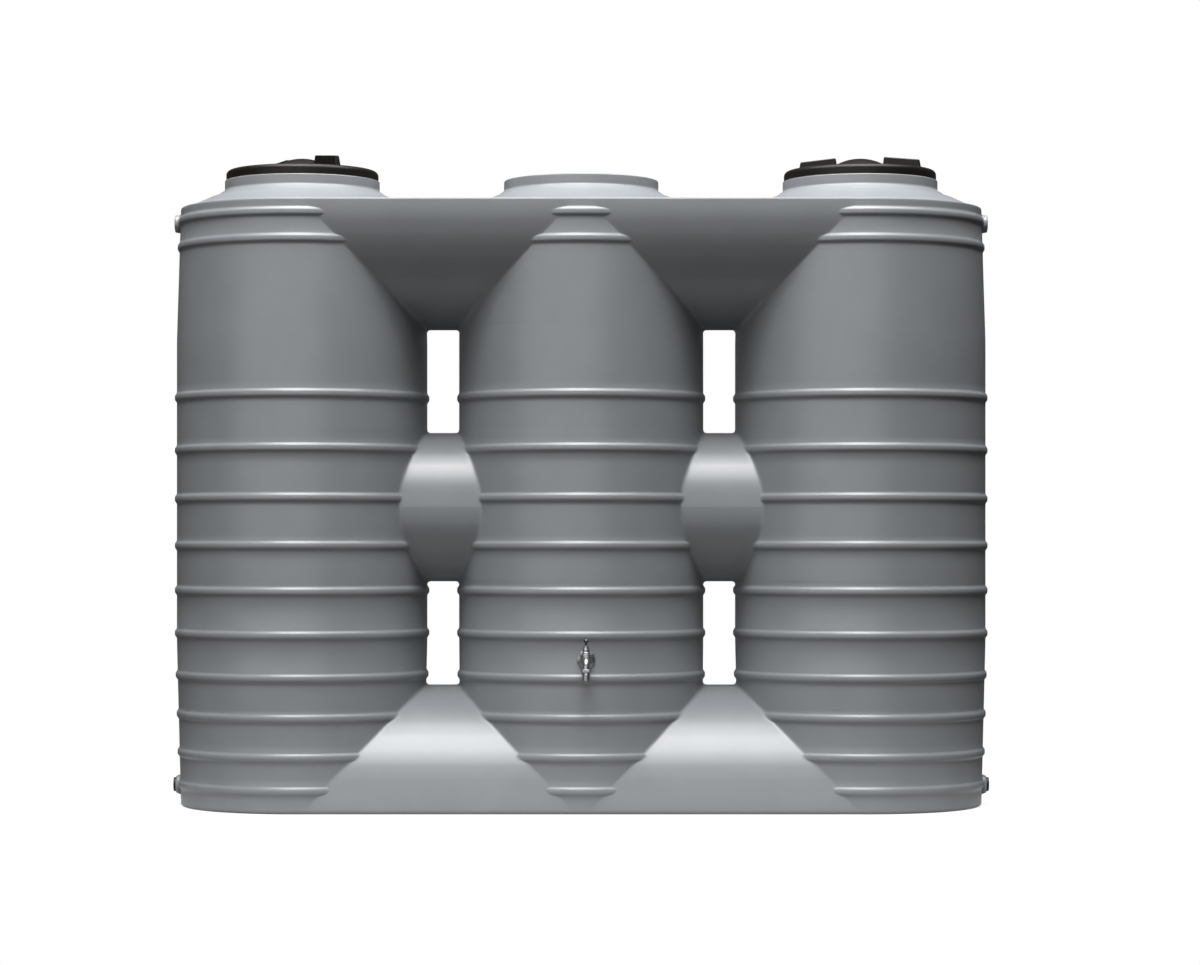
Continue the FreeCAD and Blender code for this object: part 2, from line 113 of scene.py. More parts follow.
# Joins doubled points, turns faces outwards and says if the surface isn't closed
def cleanMesh(thing):
    work = bmesh.new()
    work.from_mesh(thing.data)
    bmesh.ops.remove_doubles(work, verts=work.verts, dist=mergeDistance)
    bmesh.ops.dissolve_degenerate(work, edges=work.edges, dist=mergeDistance / 2)
    bmesh.ops.recalc_face_normals(work, faces=work.faces)
    openEdges = sum(1 for edge in work.edges if len(edge.link_faces) != 2)
    work.to_mesh(thing.data)
    work.free()
    thing.data.update()
    report(f"{thing.name}: {len(thing.data.polygons)} faces, {openEdges} edges not shared by two")
    return thing


# Faces of a grid of points, rows by columns, as indices from a first one
def gridFaces(rows, columns, first, closed):
    faces = []
    last = columns if closed else columns - 1
    for i in range(rows - 1):
        for j in range(last):
            k = (j + 1) % columns
            a, b = first + i * columns, first + (i + 1) * columns
            faces.append((a + j, a + k, b + k, b + j))
    return faces


# Grids of points joined into one closed mesh
def gridsObject(name, grids, caps=()):
    points, faces = [], []
    for grid, closed in grids:
        faces += gridFaces(grid.shape[0], grid.shape[1], len(points), closed)
        points += [tuple(p) for p in grid.reshape(-1, 3)]
    for cap in caps:
        faces.append(tuple(range(len(points), len(points) + len(cap))))
        points += [tuple(p) for p in cap]
    return cleanMesh(meshObject(name, points, faces))


def finishPiece(thing, body, material, nodes):
    thing.data.materials.clear()
    thing.data.materials.append(material)
    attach(thing, body)
    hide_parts(*nodes)


# Camera, fitted to the photograph: level, in front of the middle barrel

cameraFit = {
    "distance": 9.40,              # metres from the plane of the barrel axes
    "eyeHeight": 0.778,
    "frameSize": (1200, 965),
    "focalPixels": 3167,
    "axisPixel": (581.2, 542.2),   # where the camera's axis meets the picture
    "sensor": 36.0,
}


def makeCamera(c):
    data = bpy.data.cameras.new("camera")
    camera = addObject("camera", data)
    width, height = c["frameSize"]
    data.sensor_width = c["sensor"]
    data.lens = c["focalPixels"] * c["sensor"] / width
    data.shift_x = (width / 2 - c["axisPixel"][0]) / width
    data.shift_y = (c["axisPixel"][1] - height / 2) / width
    data.clip_end = 100
    camera.location = (0, -c["distance"], c["eyeHeight"])
    camera.rotation_euler = (math.radians(90), 0, 0)
    bpy.context.scene.camera = camera
    report("camera set")


makeCamera(cameraFit)


# Materials

plasticLook = {
    "colour": "#75787b",
    "roughness": 0.36,
    "specular": 0.5,
    "mottle": 0.035,        # share by which the powder's melt marks change the colour
    "markScale": 9.0,
    "grain": 0.00012,       # metres of orange peel
}
blackLook = {"colour": "#12100d", "roughness": 0.42, "specular": 0.22, "grain": 0.00006}
strainerLook = {"colour": "#18181b", "roughness": 0.45, "specular": 0.3, "grain": 0.00005}
chromeLook = {"colour": "#9a9c9e", "roughness": 0.36}
handleLook = {"colour": "#55585c", "roughness": 0.35}
peelScale = 260.0
peelStrength = 0.6


def newMaterial(name, inputs):
    material = bpy.data.materials.new(name)
    material.use_nodes = True
    tree = material.node_tree
    tree.nodes.clear()
    shader = addNode(tree, "ShaderNodeBsdfPrincipled", inputs)
    addNode(tree, "ShaderNodeOutputMaterial", links={"Surface": shader.outputs["BSDF"]})
    return material, tree, shader


# Moulded plastic: half matt, with a fine orange peel that breaks up highlights. The powder of the
# rotomoulded tank leaves faint melt marks too, which keep its large walls from looking flat
def plastic(name, look):
    base = linear(look["colour"])
    material, tree, shader = newMaterial(name, {
        "Base Color": base, "Roughness": look["roughness"], "Specular IOR Level": look["specular"]})
    place = addNode(tree, "ShaderNodeTexCoord").outputs["Object"]
    if "mottle" in look:
        marks = addNode(tree, "ShaderNodeTexNoise", {
            "Scale": look["markScale"], "Detail": 4.0, "Roughness": 0.55}, {"Vector": place})
        share = addNode(tree, "ShaderNodeMapRange", {
            "From Min": 0.3, "From Max": 0.7, "To Min": 1 - look["mottle"], "To Max": 1 + look["mottle"]},
            {"Value": marks.outputs["Fac"]})
        tint = wired(tree, "ShaderNodeVectorMath", base[:3], share.outputs["Result"], operation="MULTIPLY")
        tree.links.new(tint, shader.inputs["Base Color"])
    peel = addNode(tree, "ShaderNodeTexNoise", {"Scale": peelScale, "Detail": 2.0}, {"Vector": place})
    bump = addNode(tree, "ShaderNodeBump", {"Strength": peelStrength, "Distance": look["grain"]},
                   {"Height": peel.outputs["Fac"]})
    tree.links.new(bump.outputs["Normal"], shader.inputs["Normal"])
    return material


# Chromed brass or die-cast zinc: clear reflections, a little soft from wear
def metal(name, look):
    return newMaterial(name, {
        "Base Color": linear(look["colour"]), "Metallic": 1.0, "Roughness": look["roughness"]})[0]


greyPlastic = plastic("rotomoulded grey polyethylene", plasticLook)
blackPlastic = plastic("moulded black polypropylene", blackLook)
strainerPlastic = plastic("moulded charcoal polypropylene", strainerLook)
chrome = metal("chromed brass", chromeLook)
handleMetal = metal("dark die-cast zinc", handleLook)
report("materials made")


# Moulded shell, one seamless skin with rounded joints

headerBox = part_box("left_header")
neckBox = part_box("middle_neck")
shellValues = {
    "pitch": 827 * mm,
    "wall": 6 * mm,
    "middleRadius": 362 * mm,
    "endRadius": 370 * mm,
    "middleTaper": 5 * mm,
    "endTaper": 12 * mm,
    "taperLow": 490 * mm,
    "taperHigh": 1370 * mm,
    "shoulder": headerBox[1].z,
    "headerRadius": 356 * mm,
    "vaultRadius": 356 * mm,
    "linkRadius": 220 * mm,
    "linkHeight": 882 * mm,
    "hoopHeights": [z * mm for z in (65, 160, 272, 387, 510, 636, 768, 906, 1049, 1204, 1648, 1724)],
    "hoopProud": 6 * mm,
    "hoopHeight": 32 * mm,
    "hoopCrest": 9 * mm,
    "coneInset": 18 * mm,
    "topBlend": 5 * mm,
    "footBlend": 11 * mm,
    "innerEdgeBlend": 10 * mm,
    "jointBlend": 12 * mm,
    "coneBlend": 5 * mm,
    "neckRadius": neckBox[1].x,
    "neckFoot": neckBox[0].z,
    "neckTop": neckBox[1].z,
    "neckWall": 8 * mm,
    "ledgeDrop": 10 * mm,
    "ledgeWidth": 10 * mm,
    "floorRing": 60 * mm,        # radius of the plain middle of the floor under a barrel
    "neckSpread": 6 * mm,        # how far outside the neck's wall the cone's outer face ends
    "neckInset": 13 * mm,        # how far inside it the inner face ends
    "columns": 28,
    "jointColumns": 10,
    "acrossColumns": 13,
    "acrossInset": 45 * mm,
    "curveRows": 16,
    "rowGap": 1.8 * mm,          # least height of a row of faces where there are hoops
    "plainRowGap": 6 * mm,
    "plainRow": 60 * mm,
    "hoopRows": [d * mm for d in (0, 4.5, 7.5, 10.3, 13, 16.5)],
    "joinRows": [d * mm for d in (3, 7, 13, 22)],
    "closestColumn": 0.12,       # width beside a seam, as a share of a plain column's
    "columnGrowth": 1.45,
    "roofShare": 0.9,            # turns height above the cones into distance from them
}
# a short name for the formulas
sv = shellValues
settleValues = {"rounds": 7, "probe": 0.05 * mm, "longest": 6 * mm, "flattest": 0.05}
far = 9.0                        # metres, farther than anything on the tank
barrelPlaces = {
    "left": (-sv["pitch"], sv["endRadius"], sv["endTaper"]),
    "middle": (0.0, sv["middleRadius"], sv["middleTaper"]),
    "right": (sv["pitch"], sv["endRadius"], sv["endTaper"]),
}
joiningForms = ((sv["shoulder"], sv["headerRadius"]), (sv["linkHeight"], sv["linkRadius"]),
                (0.0, sv["vaultRadius"]))
edgeSteps = [d * mm for d in (0, 2, 4.5, 7.5, 11, 15, 20, 27)]


def smoothStep(t):
    t = np.clip(t, 0, 1)
    return t * t * (3 - 2 * t)


def wallRadius(place, z, hooped, offset):
    radius, taper = place[1:]
    low = np.clip((sv["taperLow"] - z) / sv["taperLow"], 0, 1)
    high = np.clip((z - sv["taperHigh"]) / (sv["shoulder"] - sv["taperHigh"]), 0, 1)
    wall = radius - taper * (low + high) - offset
    if hooped:
        slope = (sv["hoopHeight"] - sv["hoopCrest"]) / 2
        for centre in sv["hoopHeights"]:
            wall = wall + sv["hoopProud"] * smoothStep((sv["hoopHeight"] / 2 - np.abs(z - centre)) / slope)
    return wall


def coneBase(place):
    return place[1] - place[2] - sv["coneInset"]


def coneSlope(place):
    return (sv["neckFoot"] - sv["shoulder"]) / (coneBase(place) - sv["neckRadius"])


# Lower of two distances, rounded over a width of k where they are close
def smoothMin(a, b, k):
    k = np.maximum(k, 1e-7)
    h = np.maximum(k - np.abs(a - b), 0) / k
    return np.minimum(a, b) - h * h * k / 4


def smoothMax(a, b, k):
    return -smoothMin(-a, -b, k)


# Distance to the skin, below zero inside it. The offset makes the inner face of the wall
def skinField(p, hooped, offset):
    x, y, z = p[:, 0], p[:, 1], p[:, 2]
    barrel = np.full(len(p), far)
    facing = np.zeros(len(p))
    rise = np.full(len(p), -far)
    for place in barrelPlaces.values():
        r = np.maximum(np.hypot(x - place[0], y), 1e-9)
        d = r - wallRadius(place, z, hooped, offset)
        facing = np.where(d < barrel, y / r, facing)
        barrel = np.minimum(d, barrel)
        rise = np.maximum(rise, (coneBase(place) - r) * coneSlope(place))
    joint = np.full(len(p), far)
    jointFacing = np.zeros(len(p))
    for height, radius in joiningForms:
        r = np.maximum(np.hypot(y, z - height), 1e-9)
        d = r - radius + offset
        jointFacing = np.where(d < joint, y / r, jointFacing)
        joint = np.minimum(d, joint)
    joint = np.where(np.abs(x) > sv["pitch"], far, joint)
    apart = np.clip(1 - facing * jointFacing, 0, 1)   # 0 where the two surfaces run along each other
    side = smoothMin(barrel, joint, sv["jointBlend"] * apart)
    height = smoothMax(np.zeros(len(p)), rise, sv["coneBlend"]) + sv["shoulder"] - offset
    top, foot = (sv["innerEdgeBlend"],) * 2 if offset else (sv["topBlend"], sv["footBlend"])
    return smoothMax(smoothMax(side, sv["roofShare"] * (z - height), top), offset - z, foot)


# Moves points onto the skin along its slope
def settle(grid, hooped, offset):
    p = grid.reshape(-1, 3).copy()
    h = settleValues["probe"]
    for _ in range(settleValues["rounds"]):
        f = skinField(p, hooped, offset)
        rises = [skinField(p + step, hooped, offset) - skinField(p - step, hooped, offset)
                 for step in np.eye(3) * h]
        slope = np.stack([rise / (2 * h) for rise in rises], axis=1)
        size = np.maximum((slope ** 2).sum(axis=1), settleValues["flattest"])
        move = -(f / size)[:, None] * slope
        length = np.linalg.norm(move, axis=1, keepdims=True)
        p += move * np.minimum(1, settleValues["longest"] / np.maximum(length, 1e-9))
    return p.reshape(grid.shape)


# Heights at which the skin is cut into rows: where its forms begin and end, and close together on the hoops
def rowHeights(hooped, offset):
    top, link, linkR = sv["shoulder"], sv["linkHeight"], sv["linkRadius"] - offset
    header, vault = sv["headerRadius"] - offset, sv["vaultRadius"] - offset
    low, high = offset, top - offset
    fixed = [low, high, vault, link - linkR, link + linkR, top - header]
    extra = []
    count = sv["curveRows"]
    for i in range(1, count):
        turn = math.sin(math.radians(90 * i / count))
        extra += [top - header * turn, vault * turn]
    for i in range(1 - count // 2, count // 2):
        extra.append(link + linkR * math.sin(math.radians(180 * i / count)))
    if hooped:
        extra += [z + way * d for z in sv["hoopHeights"] for d in sv["hoopRows"] for way in (-1, 1)]
    extra += [low + d for d in edgeSteps] + [high - d for d in edgeSteps]
    extra += [z + way * d for z in fixed[2:] for d in sv["joinRows"] for way in (-1, 1)]
    extra += list(np.arange(low + 0.04, high, sv["plainRow"]))
    gap = sv["rowGap"] if hooped else sv["plainRowGap"]
    rows = list(fixed)
    for z in extra:
        if low < z < high and min(abs(z - other) for other in rows) > gap:
            rows.append(z)
    return np.array(sorted(rows))


# Half width of the form that joins two barrels, at each height. It is 0 in the windows
def jointHalfWidth(z, offset):
    width = np.zeros_like(z)
    for height, radius in joiningForms:
        width = np.maximum(width, np.sqrt(np.maximum((radius - offset) ** 2 - (z - height) ** 2, 0)))
    return np.where(width < 0.3 * mm, 0, width)


# Numbers from 0 to 1, closer together at the ends asked for
def spread(count, atStart=True, atEnd=True):
    steps = np.ones(count)
    for i in range(count):
        near = min(i if atStart else count, count - 1 - i if atEnd else count)
        steps[i] = min(1, sv["closestColumn"] * sv["columnGrowth"] ** near)
    return np.concatenate([[0], np.cumsum(steps) / steps.sum()])


# Side faces of the skin: half barrels, and the forms between them, front and back
def sideGrids(hooped, offset):
    z = rowHeights(hooped, offset)
    width = jointHalfWidth(z, offset)
    shares = spread(sv["columns"])
    inward, outward = spread(sv["jointColumns"], True, False), spread(sv["jointColumns"], False, True)
    grids, rims = [], {}
    for name, place in barrelPlaces.items():
        r = wallRadius(place, z, hooped, offset)
        seam = np.arccos(np.clip(width / r, 0, 1))
        leftTurn = seam if name != "left" else np.full_like(seam, math.pi / 2)
        rightTurn = seam if name != "right" else np.full_like(seam, math.pi / 2)
        turn = -leftTurn[:, None] + shares[None, :] * (leftTurn + rightTurn)[:, None]
        for way in (-1, 1):
            grid = stacked(place[0] + r[:, None] * np.sin(turn), way * r[:, None] * np.cos(turn), z[:, None])
            grids.append(grid)
            rims[name, way] = (grid[0], grid[-1])
    for side in (-1, 1):
        end = barrelPlaces["left" if side < 0 else "right"]
        middle = side * sv["pitch"] / 2
        for rows in jointRows(width):
            w = width[rows]
            walls = [wallRadius(barrel, z[rows], hooped, offset) for barrel in (barrelPlaces["middle"], end)]
            nearReach, endReach = (np.sqrt(np.maximum(wall ** 2 - w ** 2, 0)) for wall in walls)
            near, away = side * nearReach, end[0] - side * endReach
            x = np.concatenate([near[:, None] + (middle - near)[:, None] * inward[None, :],
                                middle + (away - middle)[:, None] * outward[None, 1:]], axis=1)
            for way in (-1, 1):
                grid = stacked(x, way * w[:, None], z[rows][:, None])
                grids.append(grid)
                if rows[0] == 0:
                    rims["vault", side, way] = grid[0]
                if rows[-1] == len(z) - 1:
                    rims["header", side, way] = grid[-1]
    return grids, rims


# Runs of rows in which there is a form between the barrels, each with the row before it and after it
def jointRows(width):
    wide = np.flatnonzero(width > 0)
    runs = np.split(wide, np.flatnonzero(np.diff(wide) > 1) + 1)
    return [np.arange(max(run[0] - 1, 0), min(run[-1] + 2, len(width))) for run in runs]


# Closed line round one barrel's roof or floor: barrel, joining form and the plane halfway to the next barrel
def cellRim(name, rims, key, level):
    front, back = (list(rims[name, way][0 if key == "vault" else 1]) for way in (-1, 1))
    half = sv["jointColumns"]

    # along the joining form to the plane, across it and back to the barrel
    def outAndBack(side):
        if name == ("right" if side == 1 else "left"):
            return []
        rows = {}
        for way in (-1, 1):
            row = rims[key, side if name == "middle" else -side, way]
            rows[way] = row[:half + 1] if name == "middle" else row[half:][::-1]
        width = abs(rows[1][0][1])
        steps = [d for d in edgeSteps if d < width]
        plain = width - sv["acrossInset"]
        y = [d - width for d in steps] + list(np.linspace(-plain, plain, sv["acrossColumns"]))
        y += [width - d for d in steps[::-1]]
        across = stacked(rows[1][-1][0], y, level)
        return [*rows[-side][1:], *across[::side][1:], *rows[side][::-1][1:]]

    return np.array(front + outAndBack(1) + back[::-1][1:] + outAndBack(-1)[:-1])


# Loops from the rim of a roof or floor in to a circle round the barrel's axis
def cellLoops(rim, centre, inner, base):
    flat = rim[:, :2] - np.array([centre, 0])
    reach = np.linalg.norm(flat, axis=1)
    out = flat / reach[:, None]
    edge = edgeSteps[5]
    outerRun = np.maximum(reach - base, edge + 0.5 * mm)
    loops = [reach - d for d in edgeSteps[:6]]
    loops += [reach - (edge + (outerRun - edge) * share) for share in (0.15, 0.4, 0.7, 1.0)]
    last = loops[-1]
    loops += [last + (inner - last) * share for share in (0.04, 0.1, 0.25, 0.5, 0.75, 1.0)]
    r = np.array(loops)
    return stacked(centre + out[:, 0] * r, out[:, 1] * r, rim[:, 2])


# Neck ring and the ledge inside it, from the outer cone round to the inner one
def neckGrid(centre, firstLoop, lastLoop):
    r, top, foot = sv["neckRadius"], sv["neckTop"], sv["neckFoot"]
    bore = r - sv["neckWall"]
    ledge = bore - sv["ledgeWidth"]
    shelf = top - sv["ledgeDrop"]
    # each point as a radius and millimetres past it, then a height and millimetres above it
    profile = [(r, 3, foot, 0.2), (r, 1, foot, 2), (r, 0, foot, 5), (r, 0, foot, 8), (r, 0, top, -4),
               (r, -0.2, top, -2), (r, -1, top, -0.6), (r, -2.4, top, 0), (bore, 2, top, 0),
               (bore, 0.7, top, -0.5), (bore, 0, top, -1.8), (bore, 0, shelf, 1.5), (bore, -0.4, shelf, 0.4),
               (bore, -1.5, shelf, 0), (ledge, 1.5, shelf, 0), (ledge, 0.4, shelf, -0.4),
               (ledge, 0, shelf, -1.5), (ledge, 0, shelf, -5), (ledge, 1, shelf, -6), (ledge, 4, shelf, -9)]
    flat = firstLoop[:, :2] - np.array([centre, 0])
    out = flat / np.linalg.norm(flat, axis=1)[:, None]
    rows = [firstLoop]
    for base, past, height, above in profile:
        radius = base + past * mm
        rows.append(stacked(centre + out[:, 0] * radius, out[:, 1] * radius, height + above * mm))
    rows.append(lastLoop)
    return np.array(rows)


def makeShell():
    grids, caps = [], []
    neckLoops = {}
    for hooped, offset in ((True, 0.0), (False, sv["wall"])):
        sides, rims = sideGrids(hooped, offset)
        grids += [(settle(grid, hooped, offset), False) for grid in sides]
        for name, place in barrelPlaces.items():
            for key, level in (("header", sv["shoulder"] - offset), ("vault", offset)):
                inner = sv["floorRing"]
                if key == "header":
                    inner = sv["neckRadius"] + (-sv["neckInset"] if offset else sv["neckSpread"])
                rim = cellRim(name, rims, key, level)
                loops = settle(cellLoops(rim, place[0], inner, coneBase(place) - offset), hooped, offset)
                grids.append((loops, True))
                if key == "header":
                    neckLoops.setdefault(name, []).append(loops[-1])
                else:
                    caps.append(loops[-1])
    for name, place in barrelPlaces.items():
        grids.append((neckGrid(place[0], *neckLoops[name]), True))
    return gridsObject("tankShell", grids, caps)


shell = makeShell()
shellNodes = [f"{side}_{form}" for side in ("left", "middle", "right")
              for form in ("barrel_lower_front", "barrel_lower_back", "barrel_upper_front",
                           "barrel_upper_back", "shoulder", "neck")]
shellNodes += [f"{side}_{form}" for side in ("left", "right")
               for form in ("barrel_waist_front", "barrel_waist_back", "header", "link", "base_vault")]
finishPiece(shell, "tank", greyPlastic, shellNodes + ["tank_floor"])
report("shell made")


# Turned pieces, blocks and pipes

# Corners of an outline as (distance from the axis, height, rounding), turned into points with round corners
def roundedOutline(corners, closed=False, arcSteps=4):
    points = []
    count = len(corners)
    for i, corner in enumerate(corners):
        here = Vector(corner[:2])
        rounding = corner[2] if len(corner) > 2 else 0
        if not rounding or (not closed and i in (0, count - 1)):
            points.append(tuple(here))
            continue
        before, after = Vector(corners[i - 1][:2]), Vector(corners[(i + 1) % count][:2])
        a, b = (before - here).normalized(), (after - here).normalized()
        half = math.acos(max(-1, min(1, a.dot(b)))) / 2
        reach = min(rounding / math.tan(half), 0.45 * (before - here).length, 0.45 * (after - here).length)
        radius = reach * math.tan(half)
        middle = here + (a + b).normalized() * math.hypot(reach, radius)
        start, end = here + a * reach, here + b * reach
        points.append(tuple(start + a * reach * 0.25))
        for s in range(arcSteps + 1):
            ray = (start - middle).lerp(end - middle, s / arcSteps)
            points.append(tuple(middle + ray.normalized() * radius))
        points.append(tuple(end + b * reach * 0.25))
    return points


# Outline turned about an axis through a place. The axis is X, Y or Z, and height runs along it
def turnedGrid(outline, place, axis="Z", columns=64, way=1):
    turn = fullTurn(columns)
    r, h = np.array(outline).T[:, :, None]
    across, up, along = r * np.cos(turn), r * np.sin(turn), way * h
    order = {"Z": (across, up, along), "X": (along, across, up), "Y": (across, along, up)}[axis]
    return stacked(*order) + np.array(place)


def turnedPiece(name, corners, place, axis="Z", columns=64, way=1, closed=False):
    outline = roundedOutline(corners, closed)
    if closed:
        outline.append(outline[0])
    return gridsObject(name, [(turnedGrid(outline, place, axis, columns, way), True)])


# Block with rounded edges, its eight corners given floor first. Its weighted normals keep the wide faces flat
def roundedBlock(name, corners, rounding):
    work = bmesh.new()
    points = [work.verts.new(corner) for corner in corners]
    for face in ((0, 3, 2, 1), (4, 5, 6, 7), (0, 1, 5, 4), (1, 2, 6, 5), (2, 3, 7, 6), (3, 0, 4, 7)):
        work.faces.new([points[i] for i in face])
    bmesh.ops.bevel(work, geom=list(work.edges), offset=rounding, segments=3, affect="EDGES", profile=0.5)
    bmesh.ops.recalc_face_normals(work, faces=work.faces)
    data = bpy.data.meshes.new(name)
    work.to_mesh(data)
    work.free()
    thing = smoothObject(name, data)
    thing.modifiers.new("weighted", "WEIGHTED_NORMAL").keep_sharp = True
    return applyModifiers(thing)


def applyModifiers(thing):
    graph = bpy.context.evaluated_depsgraph_get()
    made = bpy.data.meshes.new_from_object(thing.evaluated_get(graph), depsgraph=graph)
    thing.modifiers.clear()
    thing.data = made
    return thing


# Several objects as one mesh that keeps the first one's name
def joined(things):
    name = things[0].name
    work = bmesh.new()
    for thing in things:
        work.from_mesh(thing.data)
    data = bpy.data.meshes.new(name)
    work.to_mesh(data)
    work.free()
    for thing in things:
        bpy.data.objects.remove(thing)
    return addObject(name, data)


# Screw lids: a rounded rim, a skirt that goes down into the neck, a low dome and two grips

lidValues = {
    "radius": 225 * mm,
    "rimHeight": 30 * mm,
    "rimRound": 14 * mm,
    "wall": 5 * mm,
    "skirtRadius": 205 * mm,
    "skirtReach": 22 * mm,
    "domeRadius": 100 * mm,
    "domeRise": 38 * mm,
    "domeRows": 14,
    "panelOut": 60 * mm,       # from the dome to the outer edge of the panel round it
    "panelDrop": 1.2 * mm,
    "gripInner": 66 * mm,
    "gripOuter": 183 * mm,
    "gripThick": 20 * mm,
    "gripRise": 42 * mm,
    "gripFall": 10 * mm,       # how much lower the grip's outer end is
    "gripDraft": 6 * mm,
    "gripRound": 3 * mm,
    "turns": {"left": -50, "right": -12},
}


def makeLid(side, v):
    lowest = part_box(f"{side}_lid")[0].z
    centre = barrelPlaces[side][0]
    seat = lowest + v["skirtReach"]
    top = seat + v["rimHeight"]
    deck = top - v["wall"]
    inside = v["skirtRadius"] - v["wall"]
    ball = (v["domeRadius"] ** 2 + v["domeRise"] ** 2) / (2 * v["domeRise"])
    dome = []
    for i in range(v["domeRows"]):
        lean = math.asin(v["domeRadius"] / ball) * (1 - (i + 1) / v["domeRows"])
        dome.append((ball * math.sin(lean), top + v["domeRise"] - ball * (1 - math.cos(lean))))
    panelEdge, panel = v["domeRadius"] + v["panelOut"], top - v["panelDrop"]
    corners = [
        (0, deck), (inside, deck, 2 * mm), (inside, lowest, 1 * mm), (v["skirtRadius"], lowest, 1.5 * mm),
        (v["skirtRadius"], seat, 0.8 * mm), (v["radius"], seat, 1.2 * mm), (v["radius"], top, v["rimRound"]),
        (panelEdge, top, 2 * mm), (panelEdge - 2 * mm, panel, 2 * mm),
        (v["domeRadius"] + 1 * mm, panel, 4 * mm),
    ] + dome
    outline = roundedOutline(corners, arcSteps=6)
    pieces = [gridsObject(f"{side}Lid", [(turnedGrid(outline, (centre, 0, 0), columns=128), True)])]
    turn = math.radians(v["turns"][side])
    draft = v["gripDraft"]
    for way in (1, -1):
        corners = []
        for inner, outer, thick, rises in (
                (v["gripInner"], v["gripOuter"], v["gripThick"], (-v["wall"] / 2,) * 2),
                (v["gripInner"] + draft, v["gripOuter"] - draft, v["gripThick"] - draft,
                 (v["gripRise"], v["gripRise"] - v["gripFall"]))):
            for x, y, rise in ((inner, -thick / 2, rises[0]), (outer, -thick / 2, rises[1]),
                               (outer, thick / 2, rises[1]), (inner, thick / 2, rises[0])):
                x, y = way * x, way * y
                corners.append((centre + x * math.cos(turn) - y * math.sin(turn),
                                x * math.sin(turn) + y * math.cos(turn), top + rise))
        pieces.append(roundedBlock(f"{side}Grip{way}", corners, v["gripRound"]))
    finishPiece(joined(pieces), f"{side}_lid", blackPlastic, [f"{side}_lid"])


for side in ("left", "right"):
    makeLid(side, lidValues)
report("lids made")


# Leaf strainer in the middle neck: a flange with two lug slots, a dished wall with two finger dents, a grate

strainerValues = {
    "flangeRadius": 220 * mm,
    "thick": 4 * mm,
    "mouthRadius": 163 * mm,
    "floorRadius": 143 * mm,
    "depth": 60 * mm,
    "dentRadius": 34 * mm,
    "dentReach": 22 * mm,
    "dentBlend": 6 * mm,
    "slotPlace": 200 * mm,
    "slotLength": 33 * mm,
    "slotWidth": 23 * mm,
    "grateRadius": 128 * mm,
    "barPitch": 6.3 * mm,
    "barWidth": 3.0 * mm,
    "spokeWidth": 5 * mm,
    "barThick": 3 * mm,
    "hubRadius": 7 * mm,
    "spokes": 8,
    "columns": 256,
}


